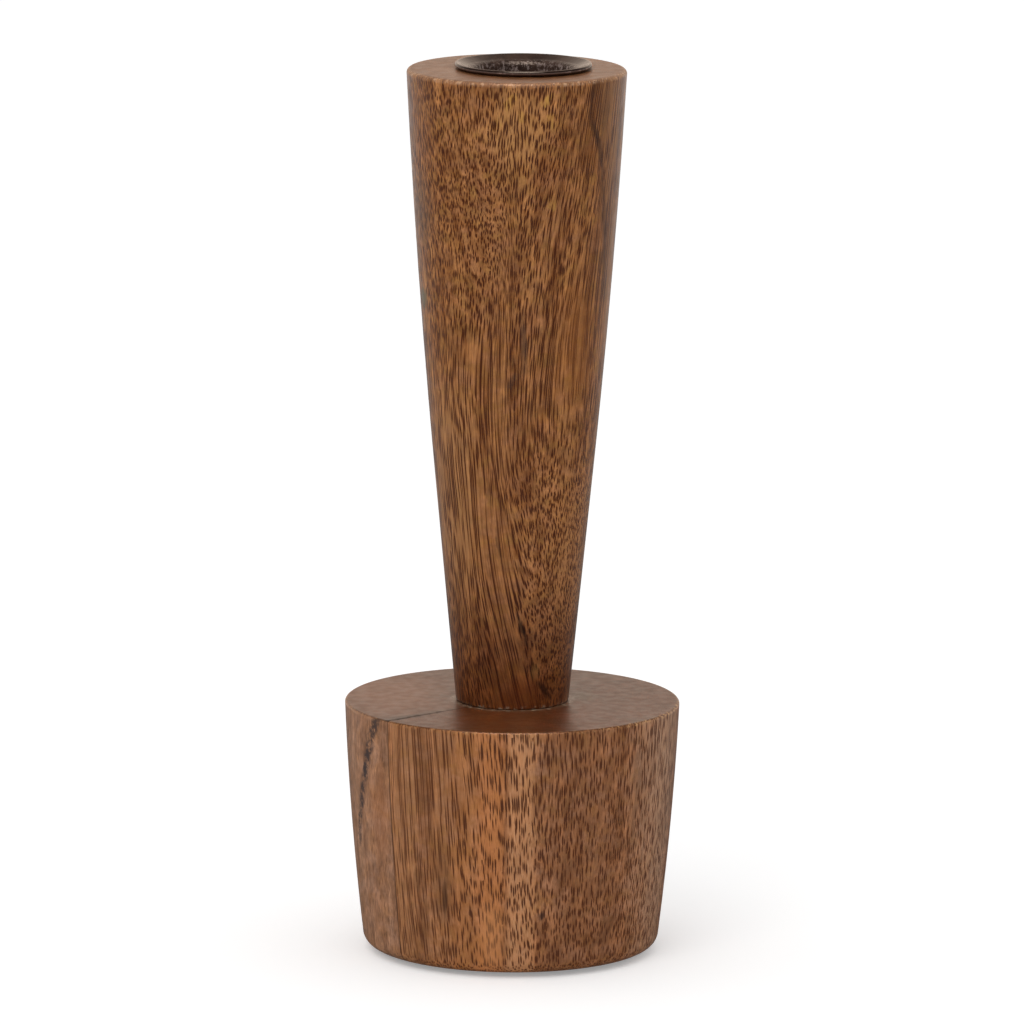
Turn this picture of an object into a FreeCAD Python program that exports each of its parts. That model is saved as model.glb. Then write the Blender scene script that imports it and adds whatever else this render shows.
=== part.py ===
import FreeCAD, Part
import os
import re

import Sketcher
from FreeCAD import Placement, Rotation, Vector

# A turned wooden candlestick in millimetres, +Z up.
# A tapered stem stands on a base glued up from two halves, and a metal candle cup drops into its top.
# The origin is on the floor, under the middle of the base.

# Driving sizes: name, value and what it measures. Lengths are in millimetres, angles in degrees.
SIZES = (
    ("base_height", 56.2, "wooden base, underside to top face"),
    ("base_top_radius", 37.8, "base at its top face"),
    ("base_foot_radius", 33.1, "base at its underside"),
    ("base_swell", 0.58, "how far the base's side stands out from a straight taper"),
    ("base_top_rounding", 0.6, "eased edge round the top face"),
    ("base_foot_rounding", 3.2, "rounded edge round the underside"),
    ("seam_angle", 42.5, "turn of the glue line between the halves, from +X"),
    ("mortise_depth", 10.0, "blind hole in the base for the stem's spigot"),
    ("counterbore_radius", 7.2, "hole from below for the screw's head and the washer"),
    ("counterbore_depth", 26.0, "underside of the base to the washer's seat"),
    ("screw_hole_clearance", 0.25, "round the screw's shank in the base"),
    ("stem_height", 143.8, "stem, shoulder to top face"),
    ("stem_foot_radius", 12.7, "stem where it meets the base"),
    ("stem_cone_radius", 17.95, "stem where its straight taper runs into the curved part"),
    ("stem_cone_height", 54.0, "shoulder to the end of the straight taper"),
    ("stem_top_radius", 24.7, "stem at its top face"),
    ("stem_swell", 0.5, "how far the curved part stands out from its chord"),
    ("stem_top_rounding", 1.0, "eased edge round the top face"),
    ("stem_foot_rounding", 0.65, "eased edge that leaves a fine groove at the joint"),
    ("spigot_radius", 8.0, "turned spigot under the stem"),
    ("spigot_length", 9.6, "shoulder to the spigot's end"),
    ("spigot_clearance", 0.1, "glue gap round the spigot in its mortise"),
    ("spigot_chamfer", 0.8, "lead-in at the spigot's end"),
    ("pilot_clearance", 0.05, "round the screw in the stem's pilot hole"),
    ("pilot_spare", 2.0, "pilot hole past the screw's tip"),
    ("drill_point_angle", 59.0, "half the angle of the drill's point"),
    ("cup_offset", 1.45, "cup's axis from the stem's, along +X"),
    ("socket_radius", 11.25, "inside of the cup, for a 22 mm candle"),
    ("cup_depth", 22.5, "lip to the inside of the cup's floor"),
    ("cup_wall", 0.5, "thickness of the pressed sheet"),
    ("cup_lip_radius", 15.55, "flared rim, to the corner that the fold rounds off"),
    ("cup_lip_height", 1.5, "the same corner above the stem's top face"),
    ("cup_hem_width", 1.0, "how far the rim is folded back under the flare"),
    ("cup_flare_angle", 25.0, "slope of the flared rim from level"),
    ("cup_throat_rounding", 1.0, "bend under the flare, on the wood's side"),
    ("cup_floor_rounding", 2.5, "bend round the floor, on the candle's side"),
    ("cup_fold_rounding", 0.45, "round outside of the fold"),
    ("cup_hole_clearance", 0.3, "round the cup in its hole"),
    ("cup_flare_gap", 0.25, "between the flare and the countersink under it"),
    ("screw_radius", 2.4, "wood screw's shank"),
    ("screw_length", 60.0, "under the head to the tip"),
    ("screw_point_length", 6.0, "tapered point"),
    ("screw_head_radius", 4.6, "pan head"),
    ("screw_head_height", 3.2, "pan head"),
    ("screw_head_rounding", 1.4, "domed edge of the pan head"),
    ("recess_length", 5.2, "each slot of the cross recess"),
    ("recess_width", 1.1, "each slot of the cross recess"),
    ("recess_depth", 1.9, "cross recess"),
    ("washer_radius", 6.4, "outside of the flat washer"),
    ("washer_thickness", 1.2, "flat washer"),
    ("washer_clearance", 0.3, "round the screw's shank in the washer"),
    ("pad_radius", 5.0, "felt pad"),
    ("pad_thickness", 1.0, "felt pad, which lifts the wood off the floor"),
    ("pad_margin", 7.9, "bare wood between a pad and the rounded foot"),
    ("overrun", 2.0, "how far a cutting profile runs past a face"),
)
PAD_COUNT = 4
RECESS_SLOTS = 2
FULL_TURN = 360
HALF_TURN = FULL_TURN / 2
QUARTER_TURN = FULL_TURN / 4
SAME_SHARE = 1e-6  # two lengths this near, as a share of the base's height, are the same

# Formulas that more than one piece follows, in the names of the sheet
SHOULDER = "(pad_thickness + base_height)"
STEM_TOP = f"({SHOULDER} + stem_height)"
WASHER_SEAT = "(pad_thickness + counterbore_depth)"
SCREW_REACH = "(counterbore_depth - washer_thickness + screw_length - base_height)"
PAD_RING = "(base_foot_radius - base_foot_rounding - pad_margin - pad_radius)"
CUP_OUTSIDE = "(socket_radius + cup_wall)"
CUP_FLOOR = "(cup_lip_height - cup_depth)"
CUP_UNDERSIDE = f"({CUP_FLOOR} - cup_wall)"
CUP_HEM = "(2 * cup_wall)"
FLARE_INNER_RADIUS = f"(cup_lip_radius - {CUP_HEM} * sin(cup_flare_angle))"
THROAT = f"(cup_lip_height - ({FLARE_INNER_RADIUS} - socket_radius) * tan(cup_flare_angle))"
UNDER_THROAT = f"({THROAT} - cup_wall * (1 - sin(cup_flare_angle)) / cos(cup_flare_angle))"
COUNTERSINK_START = f"({UNDER_THROAT} - cup_flare_gap / cos(cup_flare_angle))"
CUP_HOLE_RADIUS = f"({CUP_OUTSIDE} + cup_hole_clearance)"

doc = FreeCAD.newDocument("Candlestick")
sheet = doc.addObject("Spreadsheet::Sheet", "Sizes")
for row, (alias, number, meaning) in enumerate(SIZES, start=1):
    sheet.set(f"A{row}", meaning)
    sheet.set(f"B{row}", str(number))
    sheet.setAlias(f"B{row}", alias)
doc.recompute()

ANGLES = ("seam_angle", "cup_flare_angle", "drill_point_angle")
ALIASES = {alias for alias, number, meaning in SIZES}


def bound(formula):
    """The formula with each size read from the sheet, and each angle given its unit."""

    def cell(match):
        word = match.group(0)
        if word in ANGLES:
            return f"(Sizes.{word} * 1 deg)"
        return f"Sizes.{word}" if word in ALIASES else word

    return re.sub(r"[a-z_]+", cell, formula)


def worth(formula):
    """What a formula comes to now, as a plain number."""
    result = sheet.evalExpression(bound(formula))
    return float(getattr(result, "Value", result))


SAME = SAME_SHARE * worth("base_height")


def new_body(label):
    body = doc.addObject("PartDesign::Body", label)
    body.Label = label
    return body


def origin_plane(body, role):
    return next(feature for feature in body.Origin.OriginFeatures if feature.Role == role)


def new_sketch(body, name, role):
    sketch = body.newObject("Sketcher::SketchObject", name)
    sketch.AttachmentSupport = (origin_plane(body, role), [""])
    sketch.MapMode = "FlatFace"
    return sketch


def hold(sketch, name, formula, *constraint):
    """Adds one named dimension to a sketch and binds it to the sheet."""
    number = sketch.addConstraint(Sketcher.Constraint(*constraint, worth(formula)))
    sketch.renameConstraint(number, name)
    sketch.setExpression(f"Constraints.{name}", bound(formula))


def end_at(sketch, line, place):
    """Which end of a line or arc, 1 or 2, lies at a place."""
    first = (sketch.getPoint(line, 1) - place).Length
    second = (sketch.getPoint(line, 2) - place).Length
    return 1 if first < second else 2


def draw_outline(sketch, corners, swells=None):
    """A closed outline through corners, given as pairs of formulas.

    swells gives, for the stretch that leaves a corner, how far its arc stands out from its chord.
    """
    swells = swells or {}
    places = [Vector(worth(across), worth(up), 0) for across, up in corners]
    for corner, start in enumerate(places):
        finish = places[(corner + 1) % len(places)]
        if corner in swells:
            chord = finish - start
            outwards = Vector(chord.y, -chord.x, 0).normalize()
            middle = (start + finish) / 2 + outwards * worth(swells[corner])
            sketch.addGeometry(Part.Arc(start, middle, finish))
        else:
            sketch.addGeometry(Part.LineSegment(start, finish))
    for corner, place in enumerate(places):
        before = (corner - 1) % len(places)
        here = end_at(sketch, corner, place)
        there = end_at(sketch, before, place)
        sketch.addConstraint(Sketcher.Constraint("Coincident", before, there, corner, here))
        hold(sketch, f"across_{corner}", corners[corner][0], "DistanceX", -1, 1, corner, here)
        hold(sketch, f"up_{corner}", corners[corner][1], "DistanceY", -1, 1, corner, here)
    for corner, swell in swells.items():
        across, up = corners[corner]
        next_across, next_up = corners[(corner + 1) % len(corners)]
        chord_squared = f"(({next_across}) - ({across}))^2 + (({next_up}) - ({up}))^2"
        radius = f"({chord_squared}) / (8 * {swell}) + {swell} / 2"
        hold(sketch, f"arc_{corner}", radius, "Radius", corner)


def turn(body, name, corners, swells=None, angle=FULL_TURN):
    """A piece turned about the body's own upright axis."""
    sketch = new_sketch(body, f"{name}_profile", "XZ_Plane")
    draw_outline(sketch, corners, swells)
    turned = body.newObject("PartDesign::Revolution", name)
    turned.Profile = sketch
    turned.ReferenceAxis = (sketch, ["V_Axis"])
    turned.Angle = angle
    doc.recompute()
    return turned


def bore(body, name, corners, offset="0"):
    """A stepped hole turned out of the body, about an axis that lies offset along X."""
    before = body.Shape.Volume
    sketch = new_sketch(body, f"{name}_profile", "XZ_Plane")
    sketch.setExpression("AttachmentOffset.Base.x", bound(offset))
    draw_outline(sketch, corners)
    cut = body.newObject("PartDesign::Groove", name)
    cut.Profile = sketch
    cut.ReferenceAxis = (sketch, ["V_Axis"])
    cut.Angle = FULL_TURN
    doc.recompute()
    if not body.Shape.Volume < before - SAME:
        raise RuntimeError(f"{name} cut nothing out of {body.Label}")
    return cut


def rims(shape, radius, height):
    """The names of the round edges about the body's own axis with this radius at this height."""
    names = []
    for number, edge in enumerate(shape.Edges, start=1):
        if not isinstance(edge.Curve, Part.Circle):
            continue
        centre = edge.Curve.Center
        off = (edge.Curve.Radius - worth(radius), centre.x, centre.y, centre.z - worth(height))
        if max(abs(part) for part in off) < SAME:
            names.append(f"Edge{number}")
    return names


def dress_rims(body, name, places, kind, size_name, size):
    """A fillet or a chamfer on the rims that lie at places, given as radius and height formulas."""
    base = body.Tip
    edges = [edge for radius, height in places for edge in rims(base.Shape, radius, height)]
    if not edges:
        raise RuntimeError(f"{name} found no edge on {body.Label}")
    dressing = body.newObject(kind, name)
    dressing.Base = (base, edges)
    dressing.setExpression(size_name, bound(size))
    doc.recompute()
    return dressing


def round_rims(body, name, rounding, places):
    return dress_rims(body, name, places, "PartDesign::Fillet", "Radius", rounding)


def bevel_rims(body, name, bevel, places):
    return dress_rims(body, name, places, "PartDesign::Chamfer", "Size", bevel)


def stand_at(body, across="0", up="0", spin="0"):
    """Places a body by formulas: along X, up Z and turned about Z."""
    body.Placement = Placement(Vector(), Rotation(Vector(0, 0, 1), QUARTER_TURN))
    body.setExpression("Placement.Base.x", bound(across))
    body.setExpression("Placement.Base.z", bound(up))
    body.setExpression("Placement.Rotation.Angle", bound(spin))


# The base is turned from a block that was glued up from two halves.
# Each half has its half of the mortise for the spigot, the screw's hole and the counterbore.
def make_base_half(label, spin):
    body = new_body(label)
    side = (
        ("0", "0"),
        ("base_foot_radius", "0"),
        ("base_top_radius", "base_height"),
        ("0", "base_height"),
    )
    turn(body, f"{label}_turned", side, {1: "base_swell"}, HALF_TURN)
    screw_hole = "screw_radius + screw_hole_clearance"
    mortise = "spigot_radius + spigot_clearance"
    mortise_floor = "base_height - mortise_depth"
    bore(body, f"{label}_hole", (
        ("0", "-overrun"),
        ("counterbore_radius", "-overrun"),
        ("counterbore_radius", "counterbore_depth"),
        (screw_hole, "counterbore_depth"),
        (screw_hole, mortise_floor),
        (mortise, mortise_floor),
        (mortise, "base_height + overrun"),
        ("0", "base_height + overrun"),
    ))
    round_rims(body, f"{label}_foot_edge", "base_foot_rounding", [("base_foot_radius", "0")])
    round_rims(body, f"{label}_top_edge", "base_top_rounding", [("base_top_radius", "base_height")])
    stand_at(body, up="pad_thickness", spin=spin)
    return body


# The stem tapers in a straight line from its foot, then in one long arc to its top.
def make_stem():
    body = new_body("stem")
    turn(body, "stem_turned", (
        ("0", "-spigot_length"),
        ("spigot_radius", "-spigot_length"),
        ("spigot_radius", "0"),
        ("stem_foot_radius", "0"),
        ("stem_cone_radius", "stem_cone_height"),
        ("stem_top_radius", "stem_height"),
        ("0", "stem_height"),
    ), {4: "stem_swell"})
    countersink_low = f"stem_height + {COUNTERSINK_START} + cup_hole_clearance * tan(cup_flare_angle)"
    countersink_wide = f"{CUP_OUTSIDE} + (overrun - {COUNTERSINK_START}) / tan(cup_flare_angle)"
    bore(body, "cup_hole", (
        ("0", f"stem_height + {CUP_UNDERSIDE}"),
        (CUP_HOLE_RADIUS, f"stem_height + {CUP_UNDERSIDE}"),
        (CUP_HOLE_RADIUS, countersink_low),
        (countersink_wide, "stem_height + overrun"),
        ("0", "stem_height + overrun"),
    ), "cup_offset")
    pilot = "screw_radius + pilot_clearance"
    pilot_top = f"{SCREW_REACH} + pilot_spare"
    bore(body, "pilot_hole", (
        ("0", "-spigot_length - overrun"),
        (pilot, "-spigot_length - overrun"),
        (pilot, pilot_top),
        ("0", f"{pilot_top} + ({pilot}) / tan(drill_point_angle)"),
    ))
    round_rims(body, "stem_top_edge", "stem_top_rounding", [("stem_top_radius", "stem_height")])
    round_rims(body, "stem_foot_edge", "stem_foot_rounding", [("stem_foot_radius", "0")])
    bevel_rims(body, "spigot_lead_in", "spigot_chamfer", [("spigot_radius", "-spigot_length")])
    stand_at(body, up=SHOULDER)
    return body


# The cup is pressed from sheet: a flat floor, a straight socket and a flared rim, all one wall thick.
# The edge of the rim is hemmed: folded back under the flare, where it is two walls thick.
# The cup's floor rests on the floor of the hole, so the hem stands just clear of the wood.
def make_candle_cup():
    body = new_body("candle_cup")
    fold = f"(cup_lip_height - {CUP_HEM} * cos(cup_flare_angle))"
    hem_radius = "(cup_lip_radius - cup_hem_width * cos(cup_flare_angle))"
    hem_height = f"({fold} - cup_hem_width * sin(cup_flare_angle))"
    hem_end = f"{hem_radius} - cup_wall * sin(cup_flare_angle)"
    hem_end_height = f"{hem_height} + cup_wall * cos(cup_flare_angle)"
    turn(body, "cup_spun", (
        ("0", CUP_FLOOR),
        ("socket_radius", CUP_FLOOR),
        ("socket_radius", THROAT),
        (FLARE_INNER_RADIUS, "cup_lip_height"),
        ("cup_lip_radius", fold),
        (hem_radius, hem_height),
        (hem_end, hem_end_height),
        (CUP_OUTSIDE, UNDER_THROAT),
        (CUP_OUTSIDE, CUP_UNDERSIDE),
        ("0", CUP_UNDERSIDE),
    ))
    lip = [(FLARE_INNER_RADIUS, "cup_lip_height"), ("cup_lip_radius", fold)]
    inner_throat = "cup_throat_rounding + cup_wall"
    outer_floor = "cup_floor_rounding + cup_wall"
    round_rims(body, "throat_inside", inner_throat, [("socket_radius", THROAT)])
    round_rims(body, "throat_outside", "cup_throat_rounding", [(CUP_OUTSIDE, UNDER_THROAT)])
    round_rims(body, "floor_inside", "cup_floor_rounding", [("socket_radius", CUP_FLOOR)])
    round_rims(body, "floor_outside", outer_floor, [(CUP_OUTSIDE, CUP_UNDERSIDE)])
    round_rims(body, "fold_outside", "cup_fold_rounding", lip)
    stand_at(body, across="cup_offset", up=STEM_TOP)
    return body


# A pan-head wood screw, driven up from under the base into the stem's foot.
def make_joining_screw():
    body = new_body("joining_screw")
    tip = "screw_head_height + screw_length"
    turn(body, "screw_blank", (
        ("0", "0"),
        ("screw_head_radius", "0"),
        ("screw_head_radius", "screw_head_height"),
        ("screw_radius", "screw_head_height"),
        ("screw_radius", f"{tip} - screw_point_length"),
        ("0", tip),
    ))
    round_rims(body, "pan_edge", "screw_head_rounding", [("screw_head_radius", "0")])
    before = body.Shape.Volume
    slot_sketch = new_sketch(body, "slot_outline", "XY_Plane")
    draw_outline(slot_sketch, (
        ("-recess_length / 2", "-recess_width / 2"),
        ("recess_length / 2", "-recess_width / 2"),
        ("recess_length / 2", "recess_width / 2"),
        ("-recess_length / 2", "recess_width / 2"),
    ))
    slot = body.newObject("PartDesign::Pocket", "slot")
    slot.Profile = slot_sketch
    slot.Reversed = True
    slot.setExpression("Length", bound("recess_depth"))
    doc.recompute()
    cross = body.newObject("PartDesign::PolarPattern", "cross_recess")
    cross.Originals = [slot]
    cross.Axis = (origin_plane(body, "Z_Axis"), [""])
    cross.Angle = QUARTER_TURN
    cross.Occurrences = RECESS_SLOTS
    body.Tip = cross
    doc.recompute()
    if not body.Shape.Volume + SAME < slot.Shape.Volume < before - SAME:
        raise RuntimeError("the cross recess cut nothing out of the screw")
    stand_at(body, up=f"{WASHER_SEAT} - washer_thickness - screw_head_height")
    return body


# A flat washer spreads the screw's pull over the floor of the counterbore.
def make_screw_washer():
    body = new_body("screw_washer")
    washer_hole = "screw_radius + washer_clearance"
    turn(body, "washer_ring", (
        (washer_hole, "0"),
        ("washer_radius", "0"),
        ("washer_radius", "washer_thickness"),
        (washer_hole, "washer_thickness"),
    ))
    stand_at(body, up=f"{WASHER_SEAT} - washer_thickness")
    return body


# Felt pads stand in a ring under the base, two on each half, and meet the floor.
def make_felt_pad(number):
    body = new_body(f"felt_pad_{number}")
    disc_sketch = new_sketch(body, f"pad_{number}_outline", "XY_Plane")
    disc_sketch.addGeometry(Part.Circle(Vector(), Vector(0, 0, 1), worth("pad_radius")))
    disc_sketch.addConstraint(Sketcher.Constraint("Coincident", 0, 3, -1, 1))
    hold(disc_sketch, "disc_radius", "pad_radius", "Radius", 0)
    disc = body.newObject("PartDesign::Pad", f"pad_{number}_disc")
    disc.Profile = disc_sketch
    disc.setExpression("Length", bound("pad_thickness"))
    doc.recompute()
    step = FULL_TURN / PAD_COUNT
    angle = f"(seam_angle + {step * number - step / 2} deg)"
    body.setExpression("Placement.Base.x", bound(f"{PAD_RING} * cos{angle}"))
    body.setExpression("Placement.Base.y", bound(f"{PAD_RING} * sin{angle}"))
    return body


pieces = [
    make_base_half("base_left_half", "seam_angle"),
    make_base_half("base_right_half", f"seam_angle + {HALF_TURN} deg"),
    make_stem(),
    make_candle_cup(),
    make_joining_screw(),
    make_screw_washer(),
]
for pad in range(PAD_COUNT):
    pieces.append(make_felt_pad(pad + 1))
doc.recompute()

# Nothing is written unless every feature and every solid is sound.
for item in doc.Objects:
    if "Invalid" in item.State or "Error" in item.State:
        raise RuntimeError(f"{item.Label} failed: {item.State}")
for piece in pieces:
    if piece.Shape.isNull() or not piece.Shape.isValid() or len(piece.Shape.Solids) != 1:
        raise RuntimeError(f"{piece.Label} isn't one sound solid")

os.makedirs("parts", exist_ok=True)
for piece in pieces:
    piece.Shape.exportStep(f"parts/{piece.Label}.step")
    box = piece.Shape.BoundBox
    print(f"{piece.Label}: {piece.Shape.Volume:.1f} mm3, z {box.ZMin:.2f} to {box.ZMax:.2f}")

# The straight wall of the socket, which a candle's foot fits
throat_bend = "(cup_throat_rounding + cup_wall) * tan(45 deg - cup_flare_angle / 2)"
socket_top = worth(f"{STEM_TOP} + {THROAT} - {throat_bend}")
socket_low = worth(f"{STEM_TOP} + {CUP_FLOOR} + cup_floor_rounding")
print(f"socket wall: z {socket_low:.3f} to {socket_top:.3f}, {socket_top - socket_low:.3f} long")
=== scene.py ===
# %% [markdown]
# # A turned wooden candlestick
# The object is a tapered stem of mango wood on a heavy round base, with a pressed metal cup let into
# its top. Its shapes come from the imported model, which is loaded first and stays as it is.
# This lesson gives each piece its material, and sets up the floor, the light and the camera.
# Lengths are in metres unless a name ends in mm or MM.

import math

import bmesh
import bpy
from mathutils import Matrix, Vector


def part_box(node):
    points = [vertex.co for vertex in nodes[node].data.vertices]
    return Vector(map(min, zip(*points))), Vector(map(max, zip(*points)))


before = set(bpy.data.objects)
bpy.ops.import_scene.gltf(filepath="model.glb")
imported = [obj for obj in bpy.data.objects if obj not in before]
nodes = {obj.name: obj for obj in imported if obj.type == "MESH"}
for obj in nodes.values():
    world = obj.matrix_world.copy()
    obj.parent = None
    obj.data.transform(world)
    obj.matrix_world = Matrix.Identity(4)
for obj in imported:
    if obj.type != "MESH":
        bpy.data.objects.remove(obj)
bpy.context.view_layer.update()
scene = bpy.context.scene
scene.view_settings.view_transform = "Standard"
print("pieces:", ", ".join(sorted(nodes)))

# %% [markdown]
# ## The camera
# The photograph was taken from a little above, from far away and through a long lens, so upright
# lines stay parallel. The camera looks at a point half way up the stem's axis. Its small roll levels
# the round faces.

# %% Place the camera
SENSOR_MM = 36
LENS_MM = 351.56
AIM = Vector((-0.000366, 0, 0.100205))
DISTANCE = 2.2515
ELEVATION = math.radians(10.466)
ROLL = 0.0073

lens = bpy.data.cameras.new("camera")
lens.sensor_width = SENSOR_MM
lens.lens = LENS_MM
lens.clip_end = 20
camera = bpy.data.objects.new("camera", lens)
scene.collection.objects.link(camera)
towards_camera = Vector((0, -math.cos(ELEVATION), math.sin(ELEVATION)))
facing = (-towards_camera).to_track_quat("-Z", "Y")
camera.matrix_world = (
    Matrix.Translation(AIM + towards_camera * DISTANCE)
    @ facing.to_matrix().to_4x4()
    @ Matrix.Rotation(ROLL, 4, "Z")
)
scene.camera = camera
print("camera at", [round(part, 4) for part in camera.matrix_world.translation])

# %% [markdown]
# ## Nodes in plain words
# Every material below is a small graph of nodes. One function adds a node, sets it up and links its
# inputs. A second one turns a colour written as a web hex value into the linear numbers that a
# shader works in.

# %% Helpers for materials
def add(tree, kind, inputs=None, **settings):
    """Adds a node. An input given as a socket is linked, and any other value is set."""
    node = tree.nodes.new(kind)
    for name, value in settings.items():
        setattr(node, name, value)
    for socket, value in (inputs or {}).items():
        if isinstance(value, bpy.types.NodeSocket):
            tree.links.new(value, node.inputs[socket])
        else:
            node.inputs[socket].default_value = value
    return node


def linear(colour):
    """An sRGB colour such as #83573a as linear red, green, blue and alpha."""
    parts = [int(colour[place:place + 2], 16) / 255 for place in (1, 3, 5)]
    return [part / 12.92 if part <= 0.04045 else ((part + 0.055) / 1.055) ** 2.4 for part in parts] + [1]


def new_material(name):
    """An empty material with its output, and a shader that is linked to it."""
    material = bpy.data.materials.new(name)
    material.use_nodes = True
    tree = material.node_tree
    tree.nodes.clear()
    shader = add(tree, "ShaderNodeBsdfPrincipled")
    add(tree, "ShaderNodeOutputMaterial", {"Surface": shader.outputs["BSDF"]})
    return material, tree, shader


print("mid brown is", [round(part, 3) for part in linear("#83573a")])

# %% [markdown]
# ## Light
# Product photographs like this one are taken in a tent of white cloth, which lights the object
# evenly from all sides. The world is that tent. What shines in the lacquer is darker towards the
# camera's side, where the tent is open, so the front of the wood keeps its depth of colour and only
# its top faces pick up a pale sheen. A small bright panel overhead shows as a fine highlight on the
# rims.

# %% The tent
TENT_LEVEL = 0.80
OPEN_SIDE_LEVEL = 0.01
BACK_LEVEL = 0.96
PANEL_LEVEL = 7
WHITE = "#ffffff"
WARM_CLOTH = "#ffe8d4"
TOWARDS_BACK = (0, 1, -0.22)
BACK_FROM, BACK_TO = 0.2, 0.98
TOWARDS_PANEL = (0, -0.3, 0.954)
PANEL_FROM, PANEL_TO = 0.91, 0.97
world = bpy.data.worlds.new("tent")
scene.world = world
world.use_nodes = True
tree = world.node_tree
tree.nodes.clear()
direction = add(tree, "ShaderNodeTexCoord").outputs["Generated"]
back = add(tree, "ShaderNodeVectorMath", {
    0: direction, 1: TOWARDS_BACK,
}, operation="DOT_PRODUCT").outputs["Value"]
gloss_level = add(tree, "ShaderNodeMapRange", {
    "Value": back, "From Min": BACK_FROM, "From Max": BACK_TO,
    "To Min": OPEN_SIDE_LEVEL, "To Max": BACK_LEVEL,
}, interpolation_type="SMOOTHSTEP").outputs["Result"]
panel = add(tree, "ShaderNodeVectorMath", {
    0: direction, 1: TOWARDS_PANEL,
}, operation="DOT_PRODUCT").outputs["Value"]
panel = add(tree, "ShaderNodeMapRange", {
    "Value": panel, "From Min": PANEL_FROM, "From Max": PANEL_TO, "To Max": PANEL_LEVEL,
}).outputs["Result"]
gloss_level = add(tree, "ShaderNodeMath", {0: gloss_level, 1: panel}, operation="ADD").outputs[0]
ray = add(tree, "ShaderNodeLightPath")
sees_shape = add(tree, "ShaderNodeMath", {
    0: ray.outputs["Is Glossy Ray"], 1: ray.outputs["Is Transmission Ray"],
}, operation="MAXIMUM").outputs[0]
level = add(tree, "ShaderNodeMix", {0: sees_shape, 2: TENT_LEVEL, 3: gloss_level}).outputs[0]
level = add(tree, "ShaderNodeMix", {0: ray.outputs["Is Camera Ray"], 2: level, 3: 1.0}).outputs[0]
cloth = add(tree, "ShaderNodeMix", {
    0: sees_shape, 6: linear(WHITE), 7: linear(WARM_CLOTH),
}, data_type="RGBA").outputs[2]
sky = add(tree, "ShaderNodeBackground", {"Color": cloth, "Strength": level})
add(tree, "ShaderNodeOutputWorld", {"Surface": sky.outputs["Background"]})
print("tent level", TENT_LEVEL, "and", OPEN_SIDE_LEVEL, "at its open side")

# %% [markdown]
# One broad soft lamp from the upper left of the camera gives the form a little direction. It lights
# the wood but isn't mirrored in it, as a lamp behind cloth isn't.

# %% The soft lamp
LAMP_PLACE = Vector((-0.6, -1.5, 1.5))
LAMP_AIM = Vector((0, 0, 0.1))
light = bpy.data.lights.new("key", "AREA")
light.shape = "SQUARE"
light.size = 1.2
light.energy = 9
lamp = bpy.data.objects.new("key", light)
scene.collection.objects.link(lamp)
turned = (LAMP_AIM - LAMP_PLACE).to_track_quat("-Z", "Y").to_matrix().to_4x4()
lamp.matrix_world = Matrix.Translation(LAMP_PLACE) @ turned
lamp.visible_glossy = False
print("lamp", lamp.name, light.energy, "W")

# %% [markdown]
# ## The floor
# The floor is a sheet of white card that fills the picture. Where nothing shades it, the camera sees
# plain white. It is lit as any surface is, so the candlestick's soft shadow still falls on it, and a
# little light of its own lifts it to white for the camera alone. In the lacquer it is mirrored dark
# in front and bright at the back, as the tent is.

# %% The floor
FLOOR_SIZE = 8
shape = bmesh.new()
bmesh.ops.create_grid(shape, x_segments=1, y_segments=1, size=FLOOR_SIZE / 2)
floor_mesh = bpy.data.meshes.new("floor")
shape.to_mesh(floor_mesh)
shape.free()
floor = bpy.data.objects.new("floor", floor_mesh)
scene.collection.objects.link(floor)
print("floor", FLOOR_SIZE, "m square")

# %% White card
CARD_WHITE = "#f4f4f4"
CARD_LIFT = 0.27
DARK_TO, BRIGHT_FROM = -0.1, 1.5
material, tree, shader = new_material("white card")
shader.inputs["Base Color"].default_value = linear(CARD_WHITE)
shader.inputs["Roughness"].default_value = 1
shader.inputs["Specular IOR Level"].default_value = 0
ray = add(tree, "ShaderNodeLightPath")
lift = add(tree, "ShaderNodeMath", {
    0: ray.outputs["Is Camera Ray"], 1: CARD_LIFT,
}, operation="MULTIPLY").outputs[0]
shader.inputs["Emission Color"].default_value = linear(WHITE)
tree.links.new(lift, shader.inputs["Emission Strength"])
back = add(tree, "ShaderNodeTexCoord").outputs["Object"]
back = add(tree, "ShaderNodeSeparateXYZ", {"Vector": back}).outputs["Y"]
mirrored = add(tree, "ShaderNodeMapRange", {
    "Value": back, "From Min": DARK_TO, "From Max": BRIGHT_FROM,
    "To Min": OPEN_SIDE_LEVEL, "To Max": BACK_LEVEL,
}).outputs["Result"]
mirrored = add(tree, "ShaderNodeEmission", {"Strength": mirrored}).outputs["Emission"]
surface = add(tree, "ShaderNodeMixShader", {
    0: ray.outputs["Is Glossy Ray"], 1: shader.outputs["BSDF"], 2: mirrored,
}).outputs["Shader"]
card_output = next(node for node in tree.nodes if node.type == "OUTPUT_MATERIAL")
tree.links.new(surface, card_output.inputs["Surface"])
floor_mesh.materials.append(material)
print("card has", len(tree.nodes), "nodes")

# %% [markdown]
# ## Mango wood
# The wood's figure comes from its structure, so the material builds that structure and lets the
# surface cut it. Sap ran up through fine tubes, which the turner cuts open. Where the surface
# crosses them at a slant they show as short dark dashes, where it runs along them as long lines, and
# on the end grain as dots. The pattern fills space around the piece, so the sides, the top faces and
# the holes all agree.
# It starts from the place on the piece in millimetres.

# %% Places in millimetres
MM = 1000


def in_millimetres(tree, centre_mm=(0, 0, 0)):
    """The place on a piece, from the middle of the foot or from a centre of its own."""
    place = add(tree, "ShaderNodeTexCoord").outputs["Object"]
    return add(tree, "ShaderNodeMapping", {
        "Vector": place, "Location": [-part for part in centre_mm], "Scale": (MM, MM, MM),
    }).outputs["Vector"]


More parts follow.
